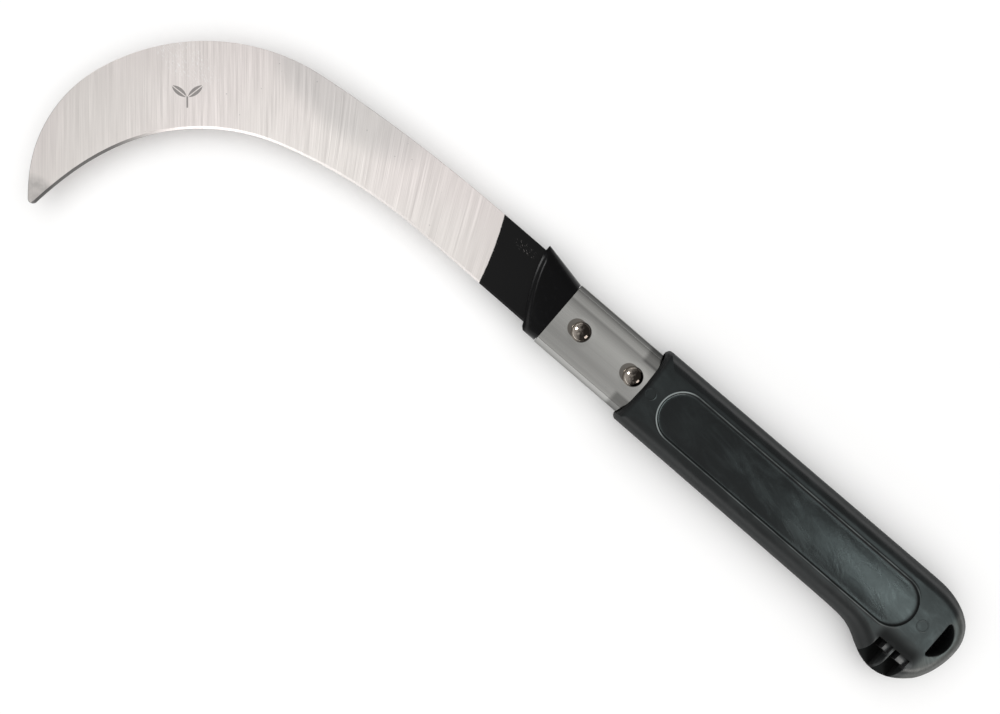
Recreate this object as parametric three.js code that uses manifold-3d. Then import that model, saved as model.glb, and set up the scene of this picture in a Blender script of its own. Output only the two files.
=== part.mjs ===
// Hand sickle, millimetres, +Z up. It lies on the flat of its grip.
// X runs from the blade to the butt along the handle, Y from the cutting side to the spine side.
// Dimensions are given from the handle axis (y = z = 0) and the rear edge of the collar (x = 0).
// At the end everything is moved so that the origin is the middle of the bounding box's base.
import * as THREE from 'three';
import { mergeVertices, toCreasedNormals } from 'three/addons/utils/BufferGeometryUtils.js';
import { ParametricGeometry } from 'three/addons/geometries/ParametricGeometry.js';
import Module from 'manifold-3d';

const wasm = await Module();
wasm.setup();

// ---- driving dimensions ----
const GAP = 0.3;                  // clearance between touching pieces

const BLADE_T = 2.2;              // blade thickness
const BEVEL_W = 1.8;              // width of the ground bevel on each face
const EDGE_T = 0.5;               // thickness left at the cutting edge
const SPINE_START = [-18, 16.55];
const SPINE_HEADING = 180;
const SPINE_RUNS = [[0, 28.8], [733.4, 7.2], [90.6, 62.6], [58.2, 53.7], [83.2, 7.6]];
const EDGE_START = [-8, -12.44];
const EDGE_HEADING = 179.74;
const EDGE_RUNS = [[0, 56.7], [224.6, 18.07], [85.35, 47.8], [108.65, 11.6], [166.8, 6.2]];
const TIP_CENTRE = [-198.03, -107.73];
const TIP_R = 1.92;
const TIP_ARC = [222, 353];

const TANG_W = 21;                // tang inside the plug
const TANG_END = 50;
const SHOULDER_X = -4;            // where the blade steps down to its tang

const AXIS_Y = -0.3;              // tube, plug and rivets sit this far off the grip's middle
const TUBE_W = 31;                // 25.4 mm round tube flattened to an oval
const TUBE_H = 15.6;
const TUBE_WALL = 1.2;
const TUBE_START = 0.3;
const TUBE_END = 183;

const COLLAR_TOP = 19.1;          // spine-side peak of the collar
const COLLAR_FRONT = -20.7;
const COLLAR_LOW = -15.4;
const COLLAR_FRONT_H = 3.1;       // half thickness at the front of the nose
const PLUG_END = 48;

const RIVET_X = [12.7, 41.0];
const SHANK_R = 2.3;
const HEAD_R = 4.3;
const HEAD_H = 3.3;
const TAIL_H = 2.0;

const GRIP_H = 24;
const GRIP_FRONT = 46.4;
const GRIP_EDGE_W = 6.4;          // width of the rounded shoulder, seen from above
const CROWN_R = 80;               // the broad sides are slightly crowned across the grip
const CROWN_FLAT = 4;             // half width of the flat strip along the crown's middle
const GRIP_BORE_END = 183.6;
const PANEL = { x0: 57.1, x1: 192, y: -0.3, r: 10.4, depth: 0.9 };
const POCKETS = [[187.3, 194.6], [195.8, 203.4]];
const POCKET_TOP = -15;
const WEB_T = 2.4;                // web left between the heel pockets of the two sides
const HOLE = { x: 205.7, y: -0.6, r: 9.6, depth: 5.7 };

// ---- helpers ----
// A run of straights [0, length] and left-turning arcs [radius, degrees] from a start point.
function arcChain(start, heading, runs, step = 3) {
  const points = [new THREE.Vector2(start[0], start[1])];
  let angle = THREE.MathUtils.degToRad(heading);
  let at = points[0].clone();
  for (const [radius, amount] of runs) {
    if (radius === 0) {
      at = at.clone().add(new THREE.Vector2(Math.cos(angle), Math.sin(angle)).multiplyScalar(amount));
      points.push(at);
      continue;
    }
    const sweep = THREE.MathUtils.degToRad(amount);
    const centre = new THREE.Vector2(at.x - radius * Math.sin(angle), at.y + radius * Math.cos(angle));
    const count = Math.max(2, Math.round(radius * sweep / step));
    for (let i = 1; i <= count; i += 1) {
      const a = angle + sweep * i / count;
      points.push(new THREE.Vector2(centre.x + radius * Math.sin(a), centre.y - radius * Math.cos(a)));
    }
    angle += sweep;
    at = points[points.length - 1];
  }
  return points;
}

function solid(geometry) {
  const bare = geometry.clone();
  for (const name of Object.keys(bare.attributes)) {
    if (name !== 'position') {
      bare.deleteAttribute(name);
    }
  }
  const merged = mergeVertices(bare, 1e-4);
  const vertProperties = new Float32Array(merged.attributes.position.array);
  const triVerts = new Uint32Array(merged.index.array);
  return new wasm.Manifold(new wasm.Mesh({ numProp: 3, vertProperties, triVerts }));
}

function toGeometry(manifold) {
  const mesh = manifold.getMesh();
  const geometry = new THREE.BufferGeometry();
  geometry.setAttribute('position', new THREE.BufferAttribute(new Float32Array(mesh.vertProperties), 3));
  geometry.setIndex(new THREE.BufferAttribute(new Uint32Array(mesh.triVerts), 1));
  return geometry;
}

// A flat outline extruded along Z, centred on z = middle.
function plate(points, depth, middle = 0) {
  const geometry = new THREE.ExtrudeGeometry(new THREE.Shape(points), { depth, bevelEnabled: false });
  geometry.translate(0, 0, middle - depth / 2);
  return solid(geometry);
}

function block(x0, x1, y0, y1, z0, z1) {
  const geometry = new THREE.BoxGeometry(x1 - x0, y1 - y0, z1 - z0);
  geometry.translate((x0 + x1) / 2, (y0 + y1) / 2, (z0 + z1) / 2);
  return solid(geometry);
}

function post(radius, x, y, height, segments = 32) {
  const geometry = new THREE.CylinderGeometry(radius, radius, height, segments);
  geometry.rotateX(Math.PI / 2);
  geometry.translate(x, y, 0);
  return solid(geometry);
}

// An oval section with half-round ends, extruded along X on the tube's axis.
function ovalBar(width, height, x0, x1, segments = 14) {
  const r = height / 2;
  const c = width / 2 - r;
  const shape = new THREE.Shape();
  shape.moveTo(-c, -r);
  shape.lineTo(c, -r);
  shape.absarc(c, 0, r, -Math.PI / 2, Math.PI / 2, false);
  shape.lineTo(-c, r);
  shape.absarc(-c, 0, r, Math.PI / 2, 1.5 * Math.PI, false);
  const settings = { depth: x1 - x0, bevelEnabled: false, curveSegments: segments };
  const geometry = new THREE.ExtrudeGeometry(shape, settings);
  geometry.rotateZ(Math.PI / 2);
  geometry.rotateY(Math.PI / 2);
  geometry.translate(x0, AXIS_Y, 0);
  return solid(geometry);
}

// ---- blade ----
const spine = arcChain(SPINE_START, SPINE_HEADING, SPINE_RUNS);
const edge = arcChain(EDGE_START, EDGE_HEADING, EDGE_RUNS);
const tip = [];
for (let i = 0; i <= 8; i += 1) {
  const a = THREE.MathUtils.degToRad(THREE.MathUtils.lerp(TIP_ARC[0], TIP_ARC[1], i / 8));
  tip.push(new THREE.Vector2(TIP_CENTRE[0] + TIP_R * Math.cos(a), TIP_CENTRE[1] + TIP_R * Math.sin(a)));
}
const half = TANG_W / 2;
const tang = [
  new THREE.Vector2(SHOULDER_X, EDGE_START[1]),
  new THREE.Vector2(SHOULDER_X, -half),
  new THREE.Vector2(TANG_END - 4, -half),
  new THREE.Vector2(TANG_END, -half + 4),
  new THREE.Vector2(TANG_END, half - 4),
  new THREE.Vector2(TANG_END - 4, half),
  new THREE.Vector2(SHOULDER_X - 5, half),
  new THREE.Vector2(SHOULDER_X - 10, SPINE_START[1]),
];
const bladeOutline = [...spine, ...tip, ...edge.slice().reverse(), ...tang];

// The bevelled cutter follows the cutting edge and runs clear of the blade everywhere else.
const edgeTail = edge[edge.length - 1];
const cutterOutline = [
  new THREE.Vector2(90, edge[0].y),
  ...edge,
  new THREE.Vector2(edgeTail.x - 1.2, -118),
  new THREE.Vector2(-240, -118),
  new THREE.Vector2(-240, 40),
  new THREE.Vector2(90, 40),
];
const cutter = new THREE.ExtrudeGeometry(new THREE.Shape(cutterOutline), {
  depth: EDGE_T,
  bevelEnabled: true,
  bevelThickness: (BLADE_T - EDGE_T) / 2,
  bevelSize: BEVEL_W,
  bevelOffset: -BEVEL_W,
  bevelSegments: 1,
});
cutter.translate(0, 0, -EDGE_T / 2);

const throughHoles = (radius) => RIVET_X.map((x) => post(radius, x, AXIS_Y, 60, 28));

let blade = plate(bladeOutline, BLADE_T).intersect(solid(cutter));
for (const hole of throughHoles(SHANK_R + GAP)) {
  blade = blade.subtract(hole);
}

// ---- collar: a nose that tapers forward and widens toward the spine, on a slotted plug ----
function noseSection(x) {
  const t = x / COLLAR_FRONT;
  const top = THREE.MathUtils.lerp(14.9, COLLAR_TOP + 0.2, t);
  return {
    top,
    low: COLLAR_LOW,
    high: THREE.MathUtils.lerp(TUBE_H / 2, COLLAR_FRONT_H, t),
  };
}
const NOSE_STACKS = 8;
const nose = new ParametricGeometry((u, v, target) => {
  const row = v * (NOSE_STACKS + 2);
  const cap = row < 0.5 || row > NOSE_STACKS + 1.5;
  const x = COLLAR_FRONT * 1.08 * (1 - THREE.MathUtils.clamp((row - 1) / NOSE_STACKS, 0, 1));
  const s = noseSection(x);
  const middle = (s.top + s.low) / 2;
  const flat = (s.top - s.low) / 2 - s.high;
  const a = 2 * Math.PI * (u % 1);
  const y = cap ? 0 : Math.sign(Math.round(Math.cos(a) * 1e6)) * flat + Math.cos(a) * s.high;
  const z = cap ? 0 : Math.sin(a) * s.high;
  target.set(x, middle + y, z);
}, 48, NOSE_STACKS + 2);

const lip = new THREE.QuadraticBezierCurve(
  new THREE.Vector2(COLLAR_FRONT + 0.1, 15.4),
  new THREE.Vector2(-18.3, 3),
  new THREE.Vector2(-8.4, -12.4),
);
const noseOutline = [
  new THREE.Vector2(0, -18),
  new THREE.Vector2(0, 18),
  new THREE.Vector2(-2, 24),
  new THREE.Vector2(COLLAR_FRONT, 24),
  new THREE.Vector2(COLLAR_FRONT, 16),
  ...lip.getPoints(14),
  new THREE.Vector2(-7.6, -14.2),
  new THREE.Vector2(-6.2, COLLAR_LOW),
  new THREE.Vector2(-6.2, -18),
];
const bladeSlot = [
  new THREE.Vector2(-30, SPINE_START[1] + GAP),
  new THREE.Vector2(-30, EDGE_START[1] - GAP),
  new THREE.Vector2(SHOULDER_X + GAP, EDGE_START[1] - GAP),
  new THREE.Vector2(SHOULDER_X + GAP, -half - GAP),
  new THREE.Vector2(PLUG_END + 5, -half - GAP),
  new THREE.Vector2(PLUG_END + 5, half + GAP),
  new THREE.Vector2(SHOULDER_X - 5 + GAP, half + GAP),
  new THREE.Vector2(SHOULDER_X - 10 + GAP, SPINE_START[1] + GAP),
];
const boreW = TUBE_W - 2 * TUBE_WALL;
const boreH = TUBE_H - 2 * TUBE_WALL;
let collar = solid(nose).intersect(plate(noseOutline, 30));
collar = collar.add(ovalBar(boreW - 2 * GAP, boreH - 2 * GAP, -1.5, PLUG_END));
collar = collar.subtract(plate(bladeSlot, BLADE_T + 2 * GAP));
for (const hole of throughHoles(SHANK_R + GAP)) {
  collar = collar.subtract(hole);
}

// ---- tube ----
let tube = ovalBar(TUBE_W, TUBE_H, TUBE_START, TUBE_END);
tube = tube.subtract(ovalBar(boreW, boreH, TUBE_START - 5, TUBE_END + 5));
for (const hole of throughHoles(SHANK_R + GAP)) {
  tube = tube.subtract(hole);
}

// ---- rivets: a high dome on the upper side, a lower upset head beneath ----
function rivet(x) {
  const seat = TUBE_H / 2 + GAP;
  const profile = [new THREE.Vector2(0, -seat - TAIL_H)];
  for (let i = 1; i <= 6; i += 1) {
    const a = (Math.PI / 2) * i / 6;
    profile.push(new THREE.Vector2(HEAD_R * 0.95 * Math.sin(a), -seat - TAIL_H * Math.cos(a)));
  }
  profile.push(new THREE.Vector2(SHANK_R, -seat));
  profile.push(new THREE.Vector2(SHANK_R, seat));
  for (let i = 0; i <= 7; i += 1) {
    const a = (Math.PI / 2) * i / 8;
    profile.push(new THREE.Vector2(HEAD_R * Math.cos(a), seat + HEAD_H * Math.sin(a)));
  }
  profile.push(new THREE.Vector2(0, seat + HEAD_H));
  const geometry = new THREE.LatheGeometry(profile, 32);
  geometry.rotateX(Math.PI / 2);
  geometry.translate(x, AXIS_Y, 0);
  return solid(geometry);
}

// ---- grip ----
const heel = new THREE.SplineCurve([
  [165, -18.8], [174, -19.3], [180, -21], [185, -23.7], [190, -26.2], [195.3, -27.4], [200.5, -27],
  [205, -25.3], [209.6, -21.9], [213, -18], [216.1, -11.2], [217.8, -3], [217.6, 4.4], [215, 10.7],
  [211, 14.7], [205.4, 17.5], [199, 19], [192, 19.3],
].map(([x, y]) => new THREE.Vector2(x, y)));
const gripOutline = [
  new THREE.Vector2(36, -18.3),
  ...heel.getPoints(56),
  new THREE.Vector2(36, 18.6),
];
const gripBody = new THREE.ExtrudeGeometry(new THREE.Shape(gripOutline), {
  depth: 1,
  bevelEnabled: true,
  bevelThickness: GRIP_H / 2 - 0.5,
  bevelSize: GRIP_EDGE_W,
  bevelOffset: -GRIP_EDGE_W,
  bevelSegments: 7,
});
gripBody.translate(0, 0, -0.5);

// A long bar with crowned upper and lower faces, thinner than the grip by the given depth on each face.
function crownBar(depth) {
  const outline = [];
  for (const side of [1, -1]) {
    for (let i = -12; i <= 12; i += 1) {
      const y = side * i * 2.75;
      const drop = Math.max(0, Math.abs(y) - CROWN_FLAT) ** 2 / (2 * CROWN_R);
      outline.push(new THREE.Vector2(-side * (GRIP_H / 2 - depth - drop), y));
    }
  }
  const geometry = new THREE.ExtrudeGeometry(new THREE.Shape(outline), { depth: 220, bevelEnabled: false });
  geometry.rotateY(Math.PI / 2);
  geometry.translate(20, 0, 0);
  return solid(geometry);
}
let grip = solid(gripBody).intersect(crownBar(0));

// The front end is cut slightly hollow, so that the rim stands back in the middle.
const FRONT_R = 98;
grip = grip.subtract(post(FRONT_R, GRIP_FRONT - FRONT_R, 0, 40, 320));
grip = grip.subtract(ovalBar(TUBE_W + 2 * GAP, TUBE_H + 2 * GAP, 20, GRIP_BORE_END));

const racetrack = new THREE.Shape();
racetrack.moveTo(PANEL.x0 + PANEL.r, -PANEL.r);
racetrack.lineTo(PANEL.x1 - PANEL.r, -PANEL.r);
racetrack.absarc(PANEL.x1 - PANEL.r, 0, PANEL.r, -Math.PI / 2, Math.PI / 2, false);
racetrack.lineTo(PANEL.x0 + PANEL.r, PANEL.r);
racetrack.absarc(PANEL.x0 + PANEL.r, 0, PANEL.r, Math.PI / 2, 1.5 * Math.PI, false);
const halfMoon = new THREE.Shape();
const moonCentre = HOLE.x + HOLE.depth - HOLE.r;
const moonAngle = Math.acos((HOLE.r - HOLE.depth) / HOLE.r);
halfMoon.absarc(moonCentre, HOLE.y, HOLE.r, -moonAngle, moonAngle, false);
grip = grip.subtract(plate(halfMoon.getPoints(16), 60));
const panelOutline = racetrack.getPoints(14).map((p) => new THREE.Vector2(p.x, p.y + PANEL.y));
grip = grip.subtract(plate(panelOutline, 2 * GRIP_H).subtract(crownBar(PANEL.depth)));
for (const side of [-1, 1]) {
  for (const [x0, x1] of POCKETS) {
    const near = WEB_T / 2;
    const z = side > 0 ? [near, 20] : [-20, -near];
    grip = grip.subtract(block(x0, x1, -40, POCKET_TOP, z[0], z[1]));
  }
}

// The moulding is made as two solids that part along the straight side of the hanging hole, so that the
// loop round the hole is a simple shape of its own and collision leaves the hole open.
const BEYOND = 300;
const gripEnd = grip.subtract(block(-BEYOND, HOLE.x + GAP, -BEYOND, BEYOND, -GRIP_H, GRIP_H));
grip = grip.subtract(block(HOLE.x, BEYOND, -BEYOND, BEYOND, -GRIP_H, GRIP_H));

// ---- group ----
const steel = { color: 0xbfbcb8, roughness: 0.32, metalness: 1 };
const black = { color: 0x17181a, roughness: 0.3, metalness: 0 };
const polished = { color: 0xa9a9a6, roughness: 0.2, metalness: 1 };
const plated = { color: 0xb8b4ae, roughness: 0.08, metalness: 1 };
const satin = { color: 0x23282a, roughness: 0.5, metalness: 0 };

const pieces = [
  ['blade', blade, steel],
  ['nose_collar', collar, black],
  ['handle_tube', tube, polished],
  ['front_rivet', rivet(RIVET_X[0]), plated],
  ['rear_rivet', rivet(RIVET_X[1]), plated],
  ['grip', grip, satin],
  ['grip_end', gripEnd, satin],
];

const group = new THREE.Group();
group.name = 'hand_sickle';
for (const [name, body, look] of pieces) {
  const material = new THREE.MeshStandardMaterial(look);
  material.name = name;
  const mesh = new THREE.Mesh(toGeometry(body), material);
  mesh.name = name;
  group.add(mesh);
}
const box = new THREE.Box3().setFromObject(group);
const centre = box.getCenter(new THREE.Vector3());
for (const mesh of group.children) {
  mesh.geometry.translate(-centre.x, -centre.y, -box.min.z);
  mesh.geometry = toCreasedNormals(mesh.geometry, Math.PI / 6);
}

export default group;
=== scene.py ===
import math

import bmesh
import bpy
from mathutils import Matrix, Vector
from mathutils.bvhtree import BVHTree


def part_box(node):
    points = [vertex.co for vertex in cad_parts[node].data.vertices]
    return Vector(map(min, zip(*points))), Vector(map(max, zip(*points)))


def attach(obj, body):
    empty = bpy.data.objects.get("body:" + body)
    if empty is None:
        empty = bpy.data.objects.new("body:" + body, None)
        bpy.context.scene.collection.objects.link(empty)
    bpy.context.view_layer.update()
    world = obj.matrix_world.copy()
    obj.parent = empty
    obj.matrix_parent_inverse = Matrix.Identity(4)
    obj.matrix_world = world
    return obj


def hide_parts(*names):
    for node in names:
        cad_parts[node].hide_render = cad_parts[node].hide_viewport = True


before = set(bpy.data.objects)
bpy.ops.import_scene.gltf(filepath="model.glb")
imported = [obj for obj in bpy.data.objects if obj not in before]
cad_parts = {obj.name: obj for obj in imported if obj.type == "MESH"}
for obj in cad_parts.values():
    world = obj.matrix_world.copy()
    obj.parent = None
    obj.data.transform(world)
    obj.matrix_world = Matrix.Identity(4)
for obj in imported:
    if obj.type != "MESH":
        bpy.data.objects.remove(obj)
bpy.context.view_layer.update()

# Lengths below are in millimetres from the handle's axis at the collar's rear edge, as in the CAD:
# x toward the butt, y toward the spine side, z up from the middle of the blade's thickness.
MM = 0.001
TUBE_Y = -0.3
TUBE_GAP = 0.3
tube_low, tube_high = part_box("handle_tube")
ORIGIN = Vector((
    tube_low.x - TUBE_GAP * MM,
    (tube_low.y + tube_high.y) / 2 - TUBE_Y * MM,
    (tube_low.z + tube_high.z) / 2,
))


def at(x, y, z=0.0):
    """A point of the frame, in metres, from millimetres along the handle's own axes."""
    return ORIGIN + Vector((x, y, z)) * MM


# ---------------------------------------------------------------- camera
VIEW_TURN = math.radians(40.73)
VIEW_CENTRE = (-6.1, -30.1)
VIEW_HEIGHT = 540.0
VIEW_WIDTH = 420.0
SENSOR_WIDTH = 36.0
camera_data = bpy.data.cameras.new("camera")
camera_data.sensor_width = SENSOR_WIDTH
camera_data.lens = SENSOR_WIDTH * VIEW_HEIGHT / VIEW_WIDTH
camera = bpy.data.objects.new("camera", camera_data)
camera.location = at(*VIEW_CENTRE, VIEW_HEIGHT)
camera.rotation_euler = (0.0, 0.0, VIEW_TURN)
bpy.context.scene.collection.objects.link(camera)
bpy.context.scene.camera = camera
bpy.context.scene.view_settings.view_transform = "Standard"


# ---------------------------------------------------------------- mesh helpers
SAME_POINT = 0.002 * MM
SLIVER = 0.003 * MM
NO_AREA = 1e-14


def new_object(name, bm, sharp_degrees=35.0):
    """Links a mesh object made from bm, smooth shaded except across angles over sharp_degrees."""
    bmesh.ops.remove_doubles(bm, verts=bm.verts, dist=SAME_POINT)
    bmesh.ops.recalc_face_normals(bm, faces=bm.faces)
    mesh = bpy.data.meshes.new(name)
    bm.to_mesh(mesh)
    bm.free()
    mesh.shade_smooth()
    mesh.set_sharp_from_angle(angle=math.radians(sharp_degrees))
    obj = bpy.data.objects.new(name, mesh)
    bpy.context.scene.collection.objects.link(obj)
    return obj


def bridge(bm, loops, closed=True, cap_start=True, cap_end=True):
    """Quads between successive loops of points in millimetres, with optional end caps."""
    rows = [[bm.verts.new(at(*p)) for p in loop] for loop in loops]
    count = len(rows[0])
    steps = count if closed else count - 1
    for a, b in zip(rows, rows[1:]):
        for i in range(steps):
            j = (i + 1) % count
            bm.faces.new((a[i], a[j], b[j], b[i]))
    if cap_start:
        bm.faces.new(rows[0])
    if cap_end:
        bm.faces.new(rows[-1])
    return rows


def apply_modifiers(obj):
    """Replaces the mesh by the result of its modifiers."""
    graph = bpy.context.evaluated_depsgraph_get()
    mesh = bpy.data.meshes.new_from_object(obj.evaluated_get(graph))
    obj.modifiers.clear()
    old = obj.data
    obj.data = mesh
    bpy.data.meshes.remove(old)
    mesh.name = obj.name


def weld(obj):
    """Merges points that cuts left a hair apart, so that no sliver of a face stays behind."""
    bm = bmesh.new()
    bm.from_mesh(obj.data)
    bmesh.ops.remove_doubles(bm, verts=bm.verts, dist=SLIVER)
    bmesh.ops.dissolve_degenerate(bm, edges=bm.edges, dist=SLIVER)
    bm.to_mesh(obj.data)
    bm.free()


def cut(obj, cutters, sharp_degrees=35.0):
    """Subtracts the cutters from obj and removes them."""
    for cutter in cutters:
        step = obj.modifiers.new("cut", "BOOLEAN")
        step.operation = "DIFFERENCE"
        step.solver = "MANIFOLD"
        step.object = cutter
    apply_modifiers(obj)
    for cutter in cutters:
        bpy.data.objects.remove(cutter)
    weld(obj)
    obj.data.shade_smooth()
    obj.data.set_sharp_from_angle(angle=math.radians(sharp_degrees))


def lerp(a, b, t):
    return a + (b - a) * t


def smooth(t):
    t = min(1.0, max(0.0, t))
    return t * t * (3 - 2 * t)


def mirrored(top):
    """A row of points over the upper side, closed by the same row over the lower side."""
    return top + [(x, y, -z) for x, y, z in reversed(top)]


def oval(width, height, x, y=TUBE_Y, segments=20):
    """A closed section with half-round ends, across the handle at x."""
    r = height / 2
    c = width / 2 - r
    loop = []
    for side, start in ((1, -90), (-1, 90)):
        for i in range(segments + 1):
            a = math.radians(start + 180 * i / segments)
            loop.append((x, y + side * c + r * math.cos(a), r * math.sin(a)))
    return loop


def prism(name, outline, z_low, z_high):
    """A closed straight prism over a flat outline."""
    bm = bmesh.new()
    bridge(bm, [[(x, y, z_low) for x, y in outline], [(x, y, z_high) for x, y in outline]])
    return new_object(name, bm)


def post(name, x, radius, height=60.0, segments=40):
    turn = [math.tau * i / segments for i in range(segments)]
    return prism(name, [(x + radius * math.cos(a), TUBE_Y + radius * math.sin(a)) for a in turn],
                 -height / 2, height / 2)


RIVET_X = (12.7, 41.0)
SHANK_R = 2.3
FIT = 0.3


def rivet_holes():
    return [post("hole", x, SHANK_R + FIT) for x in RIVET_X]


# ---------------------------------------------------------------- blade
BLADE_HALF = 1.1
CHAMFER, BEVEL_W, EDGE_HALF = 0.25, 0.9, 0.25
SPINE_START, SPINE_HEADING = (-18.0, 16.55), 180.0
SPINE_RUNS = ((0, 28.8), (733.4, 7.2), (90.6, 62.6), (58.2, 53.7), (83.2, 7.6))
EDGE_START, EDGE_HEADING = (-8.0, -12.44), 179.74
EDGE_RUNS = ((0, 56.7), (224.6, 18.07), (85.35, 47.8), (108.65, 11.6), (166.8, 6.2))
ROWS_PER_RUN = (10, 30, 44, 36, 10)
TIP_CENTRE, TIP_R, TIP_ARC, TIP_ROWS = (-198.03, -107.73), 1.92, (222.0, 353.0), 8
TANG_HALF, TANG_END, TANG_CORNER, SHOULDER_X = 10.5, 50.0, 4.0, -4.0
FLAT_STEPS = 6


def arc_chain(start, heading, runs, per_run):
    """Points along straights (0, length) and left-turning arcs (radius, degrees)."""
    points = [start]
    angle = math.radians(heading)
    x, y = start
    for (radius, amount), count in zip(runs, per_run):
        if radius == 0:
            for i in range(1, count + 1):
                s = amount * i / count
                points.append((x + s * math.cos(angle), y + s * math.sin(angle)))
        else:
            cx, cy = x - radius * math.sin(angle), y + radius * math.cos(angle)
            for i in range(1, count + 1):
                a = angle + math.radians(amount) * i / count
                points.append((cx + radius * math.sin(a), cy - radius * math.cos(a)))
            angle += math.radians(amount)
        x, y = points[-1]
    return points


def inward(rail, side):
    """Unit normals of a rail of points, pointing to its left (side 1) or right (side -1)."""
    normals = []
    for i in range(len(rail)):
        a, b = rail[max(0, i - 1)], rail[min(len(rail) - 1, i + 1)]
        dx, dy = b[0] - a[0], b[1] - a[1]
        length = math.hypot(dx, dy) or 1.0
        normals.append((-side * dy / length, side * dx / length))
    return normals


def tang_row(x, half):
    """A closed row of points round the tang at x, chamfered along both sides."""
    flat = half - CHAMFER
    across = [half] + [lerp(flat, -flat, t / FLAT_STEPS) for t in range(FLAT_STEPS + 1)] + [-half]
    return mirrored([(x, y, BLADE_HALF if abs(y) < half else BLADE_HALF - CHAMFER) for y in across])


def blade_row(spine, from_spine, edge, from_edge):
    """A closed row across the blade: chamfered at the spine, flat, then ground down to the cutting edge."""
    width = math.dist(spine, edge)
    chamfer = min(CHAMFER, 0.3 * width)
    bevel = min(BEVEL_W, 0.45 * width)
    ax, ay = spine[0] + from_spine[0] * chamfer, spine[1] + from_spine[1] * chamfer
    bx, by = edge[0] + from_edge[0] * bevel, edge[1] + from_edge[1] * bevel
    flat = [t / FLAT_STEPS for t in range(FLAT_STEPS + 1)]
    top = [(*spine, BLADE_HALF - chamfer)]
    top += [(lerp(ax, bx, t), lerp(ay, by, t), BLADE_HALF) for t in flat]
    top.append((*edge, EDGE_HALF))
    return mirrored(top)


def make_blade():
    """The blank runs between two rails, the spine and the cutting edge, from the tang to the tip."""
    spine = arc_chain(SPINE_START, SPINE_HEADING, SPINE_RUNS, ROWS_PER_RUN)
    edge = arc_chain(EDGE_START, EDGE_HEADING, EDGE_RUNS, ROWS_PER_RUN)
    point = (TIP_ARC[0] + TIP_ARC[1]) / 2
    for i in range(1, TIP_ROWS + 1):
        for rail, start in ((spine, TIP_ARC[0]), (edge, TIP_ARC[1])):
            a = math.radians(lerp(start, point, i / TIP_ROWS))
            rail.append((TIP_CENTRE[0] + TIP_R * math.cos(a), TIP_CENTRE[1] + TIP_R * math.sin(a)))
    rows = [tang_row(TANG_END, TANG_HALF - TANG_CORNER), tang_row(TANG_END - TANG_CORNER, TANG_HALF),
            tang_row(SHOULDER_X, TANG_HALF)]
    rows += [blade_row(*row) for row in zip(spine, inward(spine, 1), edge, inward(edge, -1))]
    bm = bmesh.new()
    bridge(bm, rows)
    blade = new_object("blade_blank", bm, sharp_degrees=20)
    cut(blade, rivet_holes(), sharp_degrees=20)
    return blade


# ---------------------------------------------------------------- collar
COLLAR_LOW, COLLAR_BACK_TOP, COLLAR_PEAK, COLLAR_FRONT = -15.4, 14.9, 19.1, -20.7
COLLAR_SHOULDER, COLLAR_ACROSS = 6.4, 56
LIP_HALF, LIP_ROUND, BACK_HALF = 2.7, 0.35, 7.8
CREASE, CREASE_RISE = 3.0, 1.5
WEDGE_START, WEDGE_BOW = 1.5, 0.25
LIP_CORNER = ((-6.2, COLLAR_LOW), (-7.5, -14.3), (-8.4, -12.4))
LIP_CURVE = (LIP_CORNER[-1], (-18.3, 3.0), (COLLAR_FRONT + 0.1, 15.4))
CURVE_FROM, CURVE_TO = 0.12, 0.9
LIP_ROWS = (0.0, 0.03, 0.1, 0.22, 0.4, 0.7, 1.1, 1.6, 2.2, 2.9, 3.6, 4.4)
REAR_ROWS = 8
PLUG_W, PLUG_H, PLUG_END = 28.0, 12.6, 48.0
SLOT_HALF = BLADE_HALF + 0.15


def lip_line(t):
    """The collar's front edge seen from above, from the cutting side (0) to the spine side (1)."""
    a, b, c = LIP_CURVE
    if t < CURVE_FROM:
        s = t / CURVE_FROM * 2
        i = min(1, int(s))
        return tuple(lerp(LIP_CORNER[i][k], LIP_CORNER[i + 1][k], s - i) for k in (0, 1))
    if t < CURVE_TO:
        s = (t - CURVE_FROM) / (CURVE_TO - CURVE_FROM)
        return tuple((1 - s) ** 2 * a[k] + 2 * s * (1 - s) * b[k] + s * s * c[k] for k in (0, 1))
    return COLLAR_FRONT, lerp(c[1], COLLAR_PEAK, (t - CURVE_TO) / (1 - CURVE_TO))


def wedge(behind, x):
    """How far the collar's gentle wedge has risen at x, a distance behind the lip: 1 at its rear edge."""
    t = max(0.0, (behind - WEDGE_START) / max(1.0, behind - x - WEDGE_START))
    return min(1.0, t * (1 + WEDGE_BOW * (1 - t)))


def collar_height(behind, x):
    """Half thickness at a distance behind the lip: a rounded lip, a steep face, then the wedge."""
    if behind < LIP_ROUND:
        return LIP_HALF - LIP_ROUND + math.sqrt(max(0.0, LIP_ROUND ** 2 - (LIP_ROUND - behind) ** 2))
    face = LIP_HALF + CREASE_RISE * smooth(behind / CREASE)
    return min(BACK_HALF, face + (BACK_HALF - LIP_HALF - CREASE_RISE) * wedge(behind, x))


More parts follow.
